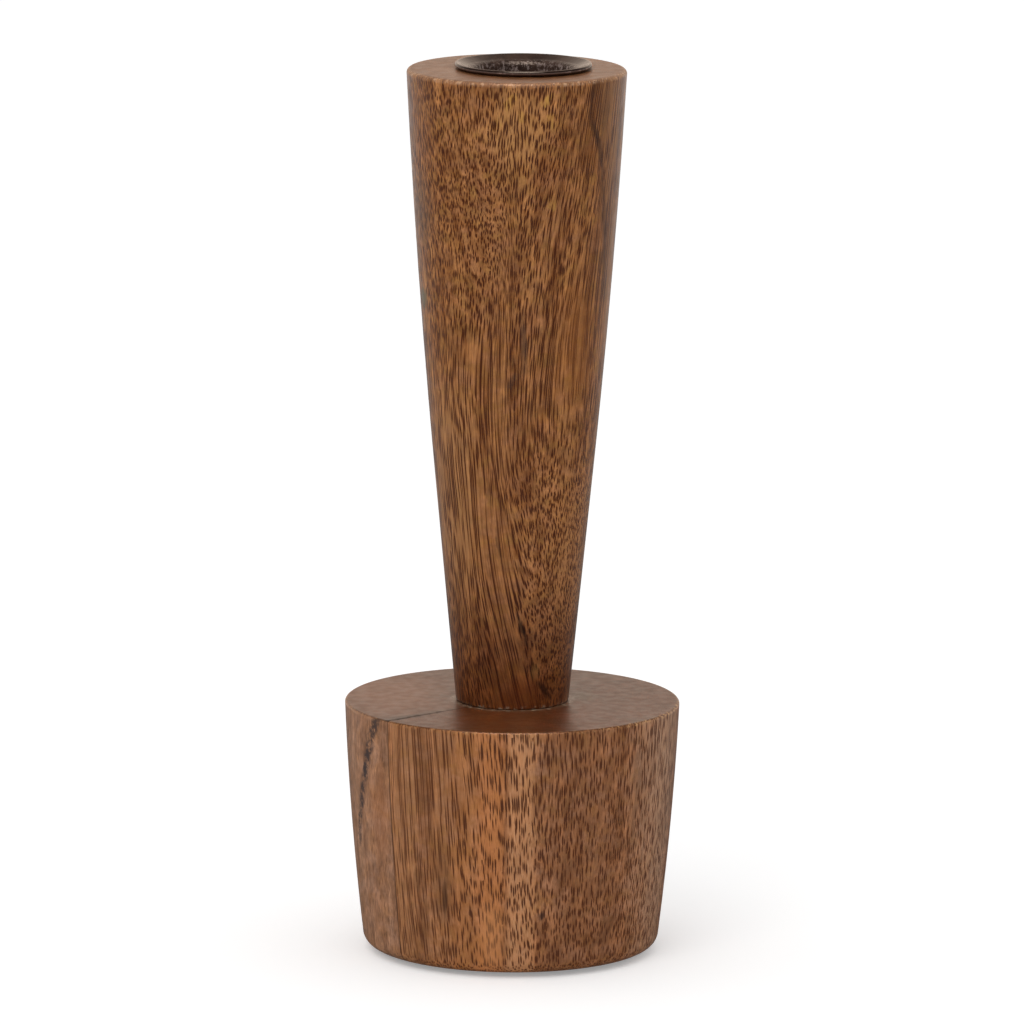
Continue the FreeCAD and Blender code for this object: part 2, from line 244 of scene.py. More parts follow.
def per(sizes_mm):
    """The scale at which a pattern repeats once in each of three sizes."""
    return [1 / size for size in sizes_mm]


print("a 4 mm pattern has a scale of", per([4])[0])

# %% [markdown]
# ### The fibres' own space
# A tree seldom grows straight, and the turner doesn't cut along its axis. So the fibres follow two
# paths, one to the side and one in depth, each given by a few heights and how far the fibres have
# moved there. They also wander a little, on a broad scale and on a fine one.

# %% A path up the tree
REACH_MM = 24


def path_at_height(tree, height, points):
    """How far a line that climbs the tree has moved sideways at a height, in millimetres."""
    low, high = points[0][0], points[-1][0]
    share = add(tree, "ShaderNodeMapRange", {
        "Value": height, "From Min": low, "From Max": high,
    }).outputs["Result"]
    curve = add(tree, "ShaderNodeFloatCurve", {"Value": share})
    line = curve.mapping.curves[0]
    for place, (at, shift) in enumerate(points):
        spot = ((at - low) / (high - low), 0.5 + shift / (2 * REACH_MM))
        if place == 0:
            line.points[0].location = spot
        elif place == len(points) - 1:
            line.points[-1].location = spot
        else:
            line.points.new(*spot)
    curve.mapping.update()
    return add(tree, "ShaderNodeMapRange", {
        "Value": curve.outputs["Value"], "To Min": -REACH_MM, "To Max": REACH_MM,
    }, clamp=False).outputs["Result"]


print("a path may reach", REACH_MM, "mm sideways")

# %% The way the fibres run
BROAD_WANDER_MM = (13, 13, 55)
FINE_WANDER_MM = (3.5, 3.5, 22)
FINE_REACH_MM = 0.22


def fibre_space(tree, seed, side_path, left_depth, right_depth, split_mm, wander_mm):
    """Two vectors in millimetres: the place itself, and the place as the fibres see it, Z along them.

    Fibres right of the split follow a depth path of their own.
    """
    place = in_millimetres(tree)
    parts = add(tree, "ShaderNodeSeparateXYZ", {"Vector": place})
    height = parts.outputs["Z"]
    across = path_at_height(tree, height, side_path)
    along_fibre = add(tree, "ShaderNodeMath", {
        0: parts.outputs["X"], 1: across,
    }, operation="SUBTRACT").outputs[0]
    right = add(tree, "ShaderNodeMapRange", {
        "Value": along_fibre, "From Min": split_mm[0], "From Max": split_mm[1],
    }, interpolation_type="SMOOTHSTEP").outputs["Result"]
    depth = add(tree, "ShaderNodeMix", {
        0: right,
        2: path_at_height(tree, height, left_depth),
        3: path_at_height(tree, height, right_depth),
    }).outputs[0]
    bend = add(tree, "ShaderNodeCombineXYZ", {"X": across, "Y": depth}).outputs["Vector"]
    straight = add(tree, "ShaderNodeVectorMath", {0: place, 1: bend}, operation="SUBTRACT").outputs[0]
    fibres = straight
    for sizes_mm, reach in ((BROAD_WANDER_MM, wander_mm), (FINE_WANDER_MM, FINE_REACH_MM)):
        waves = add(tree, "ShaderNodeMapping", {
            "Vector": straight, "Location": (seed, seed * 2, seed * 3), "Scale": per(sizes_mm),
        }).outputs["Vector"]
        drift = add(tree, "ShaderNodeTexNoise", {"Vector": waves, "Scale": 1, "Detail": 1})
        drift = add(tree, "ShaderNodeVectorMath", {
            0: drift.outputs["Color"], 1: (0.5, 0.5, 0.5),
        }, operation="SUBTRACT").outputs[0]
        drift = add(tree, "ShaderNodeVectorMath", {
            0: drift, 1: (reach * 2, reach * 2, 0),
        }, operation="MULTIPLY").outputs[0]
        fibres = add(tree, "ShaderNodeVectorMath", {0: fibres, 1: drift}, operation="ADD").outputs[0]
    return place, fibres


print("fibres wander on two scales,", BROAD_WANDER_MM[0], "and", FINE_WANDER_MM[0], "mm apart")

# %% [markdown]
# ### Pores
# In mango wood the tubes are about 0.2 mm wide, too fine to show at this size. They are drawn about
# 0.3 mm wide and half a millimetre apart. A flat field of random cells, one tube to a cell, gives
# them in the fibres' own space. Climbing the tree changes nothing in that field, so each tube runs on
# for as long as the surface stays with it. They stand in the tree's growth layers, and are fewer
# between them.

# %% Tubes that the surface cuts open
LAYER_MM = (9, 1.6, 120)


def tubes(tree, fibres, seed, ring_turn, pitch_mm, radius_mm, sparse):
    """Where an open pore shows, and the wood round it that drank its finish."""
    cell = add(tree, "ShaderNodeTexVoronoi", {
        "Vector": fibres, "Scale": 1 / pitch_mm,
    }, voronoi_dimensions="2D")
    lot = add(tree, "ShaderNodeSeparateColor", {"Color": cell.outputs["Color"]})
    layers = add(tree, "ShaderNodeMapping", {
        "Vector": fibres, "Rotation": (0, 0, ring_turn), "Location": (seed, -seed, seed),
        "Scale": per(LAYER_MM),
    }).outputs["Vector"]
    layer = add(tree, "ShaderNodeTexNoise", {"Vector": layers, "Scale": 1, "Detail": 2}).outputs["Fac"]
    share = add(tree, "ShaderNodeMapRange", {
        "Value": layer, "From Min": 0.36, "From Max": 0.58, "To Min": sparse, "To Max": 1.0,
    }).outputs["Result"]
    kept = add(tree, "ShaderNodeMath", {
        0: lot.outputs["Red"], 1: share,
    }, operation="LESS_THAN").outputs[0]
    width = radius_mm / pitch_mm
    radius = add(tree, "ShaderNodeMapRange", {
        "Value": lot.outputs["Green"], "To Min": 0.6 * width, "To Max": 1.2 * width,
    }).outputs["Result"]
    reach = add(tree, "ShaderNodeMath", {
        0: cell.outputs["Distance"], 1: radius,
    }, operation="DIVIDE").outputs[0]
    shown = []
    for edge, full in ((1.2, 0.8), (2.1, 1.0)):
        near = add(tree, "ShaderNodeMapRange", {
            "Value": reach, "From Min": edge, "From Max": full,
        }).outputs["Result"]
        shown.append(add(tree, "ShaderNodeMath", {0: near, 1: kept}, operation="MULTIPLY").outputs[0])
    return shown


print("a pore is up to 1.2 times its nominal radius")

# %% [markdown]
# ### Ground colour
# Between the tubes the wood is strands of lighter and darker brown. The fibres also dip in and out of
# the surface, so patches a few millimetres wide look golden, pinkish, lighter or darker. One noise
# has three channels, which are used for three of these. The finest fibres, a few tenths of a
# millimetre wide, come last.

# %% The colour between the tubes
STRAND_MM = (3.2, 1.4, 90)
PATCH_MM = (5, 5, 3.4)
FINE_FIBRES_PER_MM = (3.4, 3.4, 0.34)


def tint(tree, colour, amount, shade, strength=1.0):
    """Lays a shade over a colour by an amount that varies, made smaller by a fixed strength."""
    if strength < 1:
        amount = add(tree, "ShaderNodeMath", {0: amount, 1: strength}, operation="MULTIPLY").outputs[0]
    return add(tree, "ShaderNodeMix", {
        0: amount, 6: colour, 7: linear(shade),
    }, data_type="RGBA").outputs[2]


def ground_colour(tree, place, fibres, seed, ring_turn, light, dark, patches, glow=0.16):
    """Strands of light and dark wood, patches of two more shades, and fine fibres."""
    strand = add(tree, "ShaderNodeMapping", {
        "Vector": fibres, "Rotation": (0, 0, ring_turn), "Scale": per(STRAND_MM),
    }).outputs["Vector"]
    strand = add(tree, "ShaderNodeTexNoise", {
        "Vector": strand, "Scale": 1, "Detail": 4, "Roughness": 0.62,
    }).outputs["Fac"]
    strand = add(tree, "ShaderNodeMapRange", {
        "Value": strand, "From Min": 0.34, "From Max": 0.64,
    }).outputs["Result"]
    colour = tint(tree, linear(dark), strand, light)
    figure = add(tree, "ShaderNodeMapping", {
        "Vector": place, "Location": (-seed, seed, 0), "Rotation": (0, 0.5, 0), "Scale": per(PATCH_MM),
    }).outputs["Vector"]
    figure = add(tree, "ShaderNodeTexNoise", {
        "Vector": figure, "Scale": 1, "Detail": 4, "Roughness": 0.6,
    }).outputs["Color"]
    figure = add(tree, "ShaderNodeSeparateColor", {"Color": figure})
    for channel, shade in zip(("Red", "Green"), patches):
        amount = add(tree, "ShaderNodeMapRange", {
            "Value": figure.outputs[channel], "From Min": 0.48, "From Max": 0.64, "To Max": 0.55,
        }).outputs["Result"]
        colour = tint(tree, colour, amount, shade)
    bright = add(tree, "ShaderNodeMapRange", {
        "Value": figure.outputs["Blue"], "From Min": 0.36, "From Max": 0.64,
        "To Min": 1 - glow, "To Max": 1 + glow,
    }).outputs["Result"]
    fine = add(tree, "ShaderNodeVectorMath", {
        0: fibres, 1: FINE_FIBRES_PER_MM,
    }, operation="MULTIPLY").outputs[0]
    fine = add(tree, "ShaderNodeTexNoise", {
        "Vector": fine, "Scale": 1, "Detail": 2, "Roughness": 0.6,
    }).outputs["Fac"]
    fine = add(tree, "ShaderNodeMapRange", {
        "Value": fine, "From Min": 0.25, "From Max": 0.75, "To Min": 0.66, "To Max": 1.34,
    }).outputs["Result"]
    both = add(tree, "ShaderNodeMath", {0: bright, 1: fine}, operation="MULTIPLY").outputs[0]
    return add(tree, "ShaderNodeVectorMath", {0: colour, "Scale": both}, operation="SCALE").outputs[0]


print("patches of colour are about", PATCH_MM[0], "mm wide")

# %% [markdown]
# ### Stains and streaks
# Real boards have spots that no general pattern gives: a dark streak, a gum pocket, a golden fleck.
# Each is an ellipsoid in the wood with a soft edge. A noise first pushes the place this way and that,
# so that the edge comes out ragged along the grain.

# %% Ragged places and soft spots
RAGGED_MM = 1.5


def ragged(tree, place, reach_mm, seed, stretch=4):
    """The place, shifted this way and that, so that what is drawn with it has an uneven edge."""
    grain = add(tree, "ShaderNodeMapping", {
        "Vector": place, "Location": (seed, seed, seed),
        "Scale": per((RAGGED_MM, RAGGED_MM, RAGGED_MM * stretch)),
    }).outputs["Vector"]
    push = add(tree, "ShaderNodeTexNoise", {
        "Vector": grain, "Scale": 1, "Detail": 3, "Roughness": 0.6,
    }).outputs["Color"]
    push = add(tree, "ShaderNodeVectorMath", {
        0: push, 1: (0.5, 0.5, 0.5),
    }, operation="SUBTRACT").outputs[0]
    push = add(tree, "ShaderNodeVectorMath", {
        0: push, "Scale": 2 * reach_mm,
    }, operation="SCALE").outputs[0]
    return add(tree, "ShaderNodeVectorMath", {0: place, 1: push}, operation="ADD").outputs[0]


def stains(tree, colour, place, rows):
    """Soft-edged spots in the wood: ellipsoids in millimetres, leaned to the right by an angle."""
    for label, centre, half_sizes, strength, shade, lean in rows:
        spot = add(tree, "ShaderNodeMapping", {
            "Vector": place, "Location": centre, "Rotation": (0, lean, 0), "Scale": half_sizes,
        }, vector_type="TEXTURE").outputs["Vector"]
        reach = add(tree, "ShaderNodeVectorMath", {0: spot}, operation="LENGTH").outputs["Value"]
        amount = add(tree, "ShaderNodeMapRange", {
            "Value": reach, "From Min": 1.0, "From Max": 0.3, "To Max": strength,
        }, interpolation_type="SMOOTHSTEP").outputs["Result"]
        colour = tint(tree, colour, amount, shade)
        print("stain:", label)
    return colour


def band(tree, value, low, high, soft):
    """1 between two values and 0 beyond them, with soft ends."""
    up = add(tree, "ShaderNodeMapRange", {
        "Value": value, "From Min": low - soft, "From Max": low + soft,
    }).outputs["Result"]
    down = add(tree, "ShaderNodeMapRange", {
        "Value": value, "From Min": high + soft, "From Max": high - soft,
    }).outputs["Result"]
    return add(tree, "ShaderNodeMath", {0: up, 1: down}, operation="MULTIPLY").outputs[0]


print("edges are ragged on a scale of", RAGGED_MM, "mm")

# %% [markdown]
# ### Top faces and rims
# On a turned top face the fibres are cut across. Their ends drink more finish and go dark and cloudy.
# Along a sharp rim the finish is thin, and tiny chips show raw pale wood. On the stem's rim they lie
# over a pale line all round, which is a painted highlight. In the corner where the stem meets the base
# there are crumbs of glue and sanding dust. Both are specks near a circle round the axis.

# %% End grain
def on_top(tree, place, top_mm):
    """1 on the top face and 0 on the side below it."""
    height = add(tree, "ShaderNodeSeparateXYZ", {"Vector": place}).outputs["Z"]
    return add(tree, "ShaderNodeMapRange", {
        "Value": height, "From Min": top_mm - 0.3, "From Max": top_mm - 0.05,
    }).outputs["Result"]


def end_grain(tree, colour, place, top_mm, shade, second_shade):
    """The top face: two cloudy shades under a fine speckle of cut fibres."""
    cloud = add(tree, "ShaderNodeTexNoise", {
        "Vector": place, "Scale": 0.16, "Detail": 6, "Roughness": 0.7,
    }).outputs["Fac"]
    cloud = add(tree, "ShaderNodeMapRange", {
        "Value": cloud, "From Min": 0.38, "From Max": 0.62,
    }).outputs["Result"]
    shades = tint(tree, linear(shade), cloud, second_shade)
    ends = add(tree, "ShaderNodeTexNoise", {"Vector": place, "Scale": 1.6, "Detail": 2}).outputs["Fac"]
    ends = add(tree, "ShaderNodeMapRange", {
        "Value": ends, "From Min": 0.3, "From Max": 0.7, "To Min": 0.8, "To Max": 1.2,
    }).outputs["Result"]
    shades = add(tree, "ShaderNodeVectorMath", {0: shades, "Scale": ends}, operation="SCALE").outputs[0]
    amount = add(tree, "ShaderNodeMath", {
        0: on_top(tree, place, top_mm), 1: 0.86,
    }, operation="MULTIPLY").outputs[0]
    return add(tree, "ShaderNodeMix", {0: amount, 6: colour, 7: shades}, data_type="RGBA").outputs[2]


print("fibre ends are specks 0.6 mm apart")

# %% Specks near a circle
def near_ring(tree, place, ring_mm, up_mm, far_mm, close_mm):
    """How near the place is to a circle round the axis: 1 when it is close and 0 when it is far."""
    flat = add(tree, "ShaderNodeVectorMath", {0: place, 1: (1, 1, 0)}, operation="MULTIPLY").outputs[0]
    out = add(tree, "ShaderNodeVectorMath", {0: flat}, operation="LENGTH").outputs["Value"]
    height = add(tree, "ShaderNodeSeparateXYZ", {"Vector": place}).outputs["Z"]
    corner = add(tree, "ShaderNodeCombineXYZ", {"X": out, "Y": height}).outputs["Vector"]
    reach = add(tree, "ShaderNodeVectorMath", {
        0: corner, 1: (ring_mm, up_mm, 0),
    }, operation="DISTANCE").outputs["Value"]
    return add(tree, "ShaderNodeMapRange", {
        "Value": reach, "From Min": far_mm, "From Max": close_mm,
    }).outputs["Result"]


def specks(tree, colour, place, near, seed, size_mm, shade, everywhere, most):
    """Specks of a shade where near is 1, over a thin film of the same shade."""
    grain = add(tree, "ShaderNodeMapping", {
        "Vector": place, "Location": (seed, seed, 0),
        "Scale": (1 / size_mm, 1 / size_mm, 0.6 / size_mm),
    }).outputs["Vector"]
    speck = add(tree, "ShaderNodeTexNoise", {
        "Vector": grain, "Scale": 1, "Detail": 4, "Roughness": 0.75,
    }).outputs["Fac"]
    speck = add(tree, "ShaderNodeMapRange", {
        "Value": speck, "From Min": 0.53, "From Max": 0.60, "To Min": everywhere, "To Max": most,
    }).outputs["Result"]
    amount = add(tree, "ShaderNodeMath", {0: near, 1: speck}, operation="MULTIPLY").outputs[0]
    return tint(tree, colour, amount, shade)


print("chips are about 0.9 mm apart")

# %% [markdown]
# ### Lacquer
# Satin lacquer covers the wood. It was brushed on, so its gloss is a little uneven, and it sinks into
# the open pores. Over the glue it has gone matt. Lacquer is a clear plastic film, so the shader keeps
# the usual IOR of 1.5 and is not metallic.

# %% Lacquer
SATIN_LOW, SATIN_HIGH = 0.32, 0.41
MATT = 0.62
SUNK = 0.00005


def lacquer(tree, shader, colour, place, pores, strength=0.35, dull=None):
    """Satin lacquer over a wood colour. Where dull is 1 it has gone matt."""
    tree.links.new(colour, shader.inputs["Base Color"])
    coat = add(tree, "ShaderNodeTexNoise", {"Vector": place, "Scale": 0.4, "Detail": 3}).outputs["Fac"]
    rough = add(tree, "ShaderNodeMapRange", {
        "Value": coat, "From Min": 0.35, "From Max": 0.65, "To Min": SATIN_LOW, "To Max": SATIN_HIGH,
    }).outputs["Result"]
    if dull:
        rough = add(tree, "ShaderNodeMix", {0: dull, 2: rough, 3: MATT}).outputs[0]
    tree.links.new(rough, shader.inputs["Roughness"])
    filled = add(tree, "ShaderNodeMath", {0: coat, 1: pores}, operation="SUBTRACT").outputs[0]
    bump = add(tree, "ShaderNodeBump", {"Strength": strength, "Distance": SUNK, "Height": filled})
    tree.links.new(bump.outputs["Normal"], shader.inputs["Normal"])


def dress(name, material):
    """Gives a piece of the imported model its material."""
    nodes[name].data.materials.clear()
    nodes[name].data.materials.append(material)
    print(name, "is", material.name, "with", len(material.node_tree.nodes), "nodes")


print("the lacquer's roughness is", SATIN_LOW, "to", SATIN_HIGH)

# %% [markdown]
# ## The stem
# The stem was turned from one length of the trunk. Low down its fibres lean to the left as they
# climb, and near the top they lean a little to the right, so the figure changes from slanted lines to
# short dashes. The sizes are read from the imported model's pieces, apart from the radius of the
# stem's foot, which is written here.

# %% Stem wood
STEM_TOP_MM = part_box("stem")[1].z * MM
STEM_RIM_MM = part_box("stem")[1].x * MM
STEM_FOOT_MM = 12.7
BASE_RIM_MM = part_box("base_left_half")[1].y * MM
BASE_TOP_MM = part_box("base_left_half")[1].z * MM
STEM_SEED = 3.1
STEM_SIDE_PATH = (
    (47, 2), (57, 0), (75, -3.6), (95, -7.2), (115, -9.4), (135, -9.9), (160, -8.4), (202, -5.2),
)
STEM_LEFT_DEPTH = (
    (47, 0.8), (57, 0), (95, -3.0), (111, -4.0), (130, -4.4), (150, -4.8), (165, -3.6), (180, -1.6),
    (202, 1.5),
)
STEM_RIGHT_DEPTH = (
    (47, -4.7), (57, -4.0), (95, -1.2), (115, 0), (130, -0.3), (150, -0.8), (165, -0.3), (180, 0.9),
    (202, 3.0),
)
material, tree, shader = new_material("lacquered mango wood, stem")
place, fibres = fibre_space(
    tree, STEM_SEED, STEM_SIDE_PATH, STEM_LEFT_DEPTH, STEM_RIGHT_DEPTH,
    split_mm=(4.5, 9.5), wander_mm=2.2,
)
side = add(tree, "ShaderNodeSeparateXYZ", {"Vector": place})
ring_turn = math.radians(12)
colour = ground_colour(
    tree, place, fibres, STEM_SEED, ring_turn,
    light="#ad733f", dark="#7b481d", patches=("#93652a", "#a46c45"),
)
print("the stem's top is", round(STEM_TOP_MM, 1), "mm up and", round(STEM_RIM_MM * 2, 1), "mm across")

# %% [markdown]
# The strip at the far right of the stem is close-grained, and a dark wavy streak divides it from the
# rest. The streak follows a path of its own. The strip's tint and the golden flecks near its top are
# colours of the wood itself. The pale sides of the stem are a painted sheen of grazing light. All of
# these come before the pores, which lie over them. The streak comes after the pores.

# %% The streak and the strip beyond it
STREAK_PATH = (
    (150, 19.9), (165, 19.9), (175.6, 19.4), (181, 19.0), (186.5, 18.6), (189.4, 17.4), (193, 16.6),
    (202, 18.0),
)
torn = ragged(tree, place, reach_mm=1.0, seed=4.4)
torn_side = add(tree, "ShaderNodeSeparateXYZ", {"Vector": torn})
streak = path_at_height(tree, side.outputs["Z"], STREAK_PATH)
off_streak = add(tree, "ShaderNodeMath", {
    0: torn_side.outputs["X"], 1: streak,
}, operation="SUBTRACT").outputs[0]
front = add(tree, "ShaderNodeMapRange", {
    "Value": side.outputs["Y"], "From Min": -3, "From Max": -7,
}).outputs["Result"]
upper = band(tree, side.outputs["Z"], low=152, high=260, soft=8)
where = add(tree, "ShaderNodeMath", {0: front, 1: upper}, operation="MULTIPLY").outputs[0]
beyond = add(tree, "ShaderNodeMath", {
    0: band(tree, off_streak, low=0.4, high=40, soft=0.8), 1: where,
}, operation="MULTIPLY").outputs[0]
colour = tint(tree, colour, beyond, "#7d542a", 0.5)
print("the strip beyond the streak is tinted")

# %% Golden flecks, and painted sheen on the sides
UNDER_PORES = (
    # The two pale sides are a painted sheen of grazing light at the stem's left and right.
    ("pale side at the left", (-14, -12, 105), (9, 14, 42), 0.5, "#ac7c4e", 0),
    ("pale side at the right", (13, -12, 92), (7, 14, 32), 0.5, "#ac7442", 0),
    ("broad and faint", (0, -25, 190), (11, 6, 14), 0.5, "#c68e50", 0.2),
    ("fleck", (-1.4, -24, 197.0), (1.6, 4, 3.0), 0.7, "#b8863a", 0.4),
    ("smaller fleck", (1.2, -24, 193.4), (0.9, 4, 1.8), 0.6, "#b8863a", 0.2),
    ("fleck at the rim", (6.9, -23, 197.2), (1.5, 4, 2.6), 0.75, "#bd8c3c", 0.5),
    ("its tail", (7.6, -23, 192.4), (1.0, 4, 2.6), 0.6, "#b8863a", 0.1),
    ("fleck lower down", (-4.3, -23.5, 191.6), (1.0, 4, 1.6), 0.55, "#b8863a", 0.3),
    ("fleck at the right", (8.1, -22, 173.0), (1.0, 4, 2.0), 0.6, "#b58438", 0.3),
    ("fleck at the left", (-9.5, -21, 176.5), (1.2, 4, 1.8), 0.4, "#ab7c3c", 0.3),
)
wild = ragged(tree, place, reach_mm=1.7, seed=12.6, stretch=1.6)
colour = stains(tree, colour, wild, UNDER_PORES)

# %% Stem pores
PORE_BROWN = "#481b00"
SLIM_BROWN = "#592a0c"
SOAKED_BROWN = "#723a04"
PORE_RADIUS_MM = 0.148
coarse, halo = tubes(
    tree, fibres, STEM_SEED, ring_turn, pitch_mm=0.43, radius_mm=PORE_RADIUS_MM, sparse=0.62,
)
slim = tubes(tree, fibres, 9.4, ring_turn, pitch_mm=0.36, radius_mm=0.07, sparse=0.5)[0]
colour = tint(tree, colour, halo, SOAKED_BROWN, 0.6)
colour = tint(tree, colour, slim, SLIM_BROWN, 0.55)
colour = tint(tree, colour, coarse, PORE_BROWN, 0.94)
line = band(tree, off_streak, low=-0.5, high=0.35, soft=0.45)
line = add(tree, "ShaderNodeMath", {0: line, 1: where}, operation="MULTIPLY").outputs[0]
colour = tint(tree, colour, line, "#40200c", 0.72)
print("stem pores are", PORE_RADIUS_MM * 2, "mm wide")

# %% [markdown]
# The last marks are stains that darken the pores too. Towards its foot the stem's colour is
# multiplied by a brown: a painted shade, where the foot faces down at the base's dark top.

# %% Stem marks
STEM_STAINS = (
    ("grey patch at the left", (-21, -10, 170), (4, 9, 12), 0.35, "#5c4530", 0),
    ("smudge at the left edge", (-20.4, -6, 150), (1.6, 4, 3.2), 0.75, "#57563f", 0),
    ("brown patch at the right", (15, -18, 188), (4, 9, 12), 0.25, "#5a3010", 0),
    ("dark strip at the rim", (19.6, -15, 194), (2.4, 6, 10), 0.4, "#5a3418", 0),
    ("core of the streak", (17.8, -17, 188), (0.9, 4, 5), 0.55, "#35190a", -0.25),
    ("grey streak half way up", (2, -20, 142), (1.2, 6, 8), 0.5, "#4a3629", -0.05),
    ("its lower end", (-0.6, -20, 133.5), (1.2, 5, 3), 0.5, "#4a3021", 0.5),
    ("orange zone at the right", (13, -15, 140), (6, 12, 22), 0.35, "#96581c", 0),
    ("dark dash lower down", (-3.4, -17, 96), (0.6, 4, 5), 0.5, "#3a2010", -0.2),
    ("black streak", (2.2, -15, 76), (0.8, 4, 5.5), 0.75, "#27150b", -0.35),
    ("black streak at the foot", (7.2, -12, 61.5), (1.0, 4, 4), 0.8, "#1d0f07", -0.6),
    ("green tint", (5.2, -14, 66), (1.6, 4, 3.4), 0.35, "#7a6a24", 0),
    ("amber at the foot", (3, -13, 60), (7, 6, 7), 0.4, "#84400f", 0),
)
FOOT_SHADE_TINT = "#bfaa95"
colour = stains(tree, colour, torn, STEM_STAINS)
# Painted shade: the stem darkens towards its foot, which faces down at the base's dark top.
foot_shade = add(tree, "ShaderNodeMapRange", {
    "Value": side.outputs["Z"], "From Min": 96, "From Max": 56,
}, interpolation_type="SMOOTHSTEP").outputs["Result"]
colour = add(tree, "ShaderNodeMix", {
    0: foot_shade, 6: colour, 7: linear(FOOT_SHADE_TINT),
}, data_type="RGBA", blend_type="MULTIPLY").outputs[2]

# %% Stem ends
colour = end_grain(tree, colour, place, STEM_TOP_MM, "#84583a", "#70482c")
# Chips of pale wood on the rim, over a thin pale line all round that is a painted highlight.
rim = near_ring(tree, place, STEM_RIM_MM, STEM_TOP_MM, far_mm=1.15, close_mm=0.4)
colour = specks(
    tree, colour, place, rim, seed=5.5, size_mm=0.9, shade="#d0a684", everywhere=0.22, most=0.8,
)
joint = near_ring(tree, place, STEM_FOOT_MM, BASE_TOP_MM, far_mm=1.0, close_mm=0.2)
colour = specks(
    tree, colour, place, joint, seed=1.5, size_mm=1.2, shade="#b0a08c", everywhere=0, most=0.7,
)
lacquer(tree, shader, colour, place, coarse)
dress("stem", material)

# %% [markdown]
# ## The base
# The base was turned from two blocks of different trees that were glued together. The left one is
# close and cloudy, with a broken black line of spalting, which a fungus left. The right one has open
# pores and zones of colour. A hair of dark glue shows between them. On the top face it is wider, with
# a dark smear at its front end.

# %% The joint between the blocks
SEAM_ANGLE = math.radians(42.5)
SEAM_ALONG = Vector((math.cos(SEAM_ANGLE), math.sin(SEAM_ANGLE), 0))
SEAM_ACROSS = Vector((-math.sin(SEAM_ANGLE), math.cos(SEAM_ANGLE), 0))
SMEARS = (
    ("broad smear", 0.1, 1.7, 0.9, 0.6, "#2a2220"),
    ("black glue", -0.5, 0.5, 0.35, 0.75, "#0c0a0a"),
)


def glue_line(tree, colour, place):
    """The colour with a hair of glue and the smears on the top face, and where the black glue is."""
    across = add(tree, "ShaderNodeVectorMath", {
        0: place, 1: SEAM_ACROSS,
    }, operation="DOT_PRODUCT").outputs["Value"]
    along = add(tree, "ShaderNodeVectorMath", {
        0: place, 1: SEAM_ALONG,
    }, operation="DOT_PRODUCT").outputs["Value"]
    colour = tint(tree, colour, band(tree, across, low=-0.22, high=0.22, soft=0.14), "#3c2010", 0.65)
    front = add(tree, "ShaderNodeMapRange", {
        "Value": along, "From Min": -10, "From Max": -28,
    }).outputs["Result"]
    front = add(tree, "ShaderNodeMath", {
        0: front, 1: on_top(tree, place, BASE_TOP_MM),
    }, operation="MULTIPLY").outputs[0]
    uneven = ragged(tree, place, reach_mm=1.0, seed=6.2, stretch=1)
    uneven = add(tree, "ShaderNodeVectorMath", {
        0: uneven, 1: SEAM_ACROSS,
    }, operation="DOT_PRODUCT").outputs["Value"]
    for label, low, high, soft, strength, shade in SMEARS:
        amount = add(tree, "ShaderNodeMath", {
            0: band(tree, uneven, low, high, soft), 1: front,
        }, operation="MULTIPLY").outputs[0]
        colour = tint(tree, colour, amount, shade, strength)
        print("on the joint:", label)
    return colour, amount


print("the joint lies", round(math.degrees(SEAM_ANGLE), 1), "degrees from the X axis")

# %% Top face of the base
TOP_STAINS = (
    ("greenish smudge beside the stem", (16, 5, BASE_TOP_MM), (4, 8, 5), 0.4, "#665c46", 0),
    ("reddish patch", (12.5, -18, BASE_TOP_MM), (6, 5, 5), 0.2, "#84401f", 0),
    ("lighter left side", (-27, 6, BASE_TOP_MM), (17, 30, 9), 0.35, "#94572f", 0),
)


def base_top(tree, colour, place):
    """Both blocks end in the same top face: end grain, stains, dust, chips and the joint."""
    colour = end_grain(tree, colour, place, BASE_TOP_MM, "#562608", "#401b03")
    torn_top = ragged(tree, place, reach_mm=5.0, seed=3.7, stretch=1)
    colour = stains(tree, colour, torn_top, TOP_STAINS)
    corner = near_ring(tree, place, STEM_FOOT_MM + 0.4, BASE_TOP_MM, far_mm=1.3, close_mm=0.4)
    colour = specks(
        tree, colour, place, corner, seed=4.2, size_mm=1.1, shade="#b5a48c", everywhere=0.1, most=0.8,
    )
    rim = near_ring(tree, place, BASE_RIM_MM, BASE_TOP_MM, far_mm=0.95, close_mm=0.35)
    right = add(tree, "ShaderNodeSeparateXYZ", {"Vector": place}).outputs["X"]
    right = add(tree, "ShaderNodeMapRange", {
        "Value": right, "From Min": 12, "From Max": 24, "To Min": 0.45,
    }).outputs["Result"]
    rim = add(tree, "ShaderNodeMath", {0: rim, 1: right}, operation="MULTIPLY").outputs[0]
    colour = specks(
        tree, colour, place, rim, seed=2.5, size_mm=0.9, shade="#c99a66", everywhere=0.05, most=0.85,
    )
    return glue_line(tree, colour, place)


print(len(TOP_STAINS), "stains on the top face")

# %% [markdown]
# The left block has few pores. Its figure is upright bands of darker wood under soft clouds, both
# stretched along the fibres, which lean only a little. Its split lies beyond its edge, so all its
# fibres follow one path.

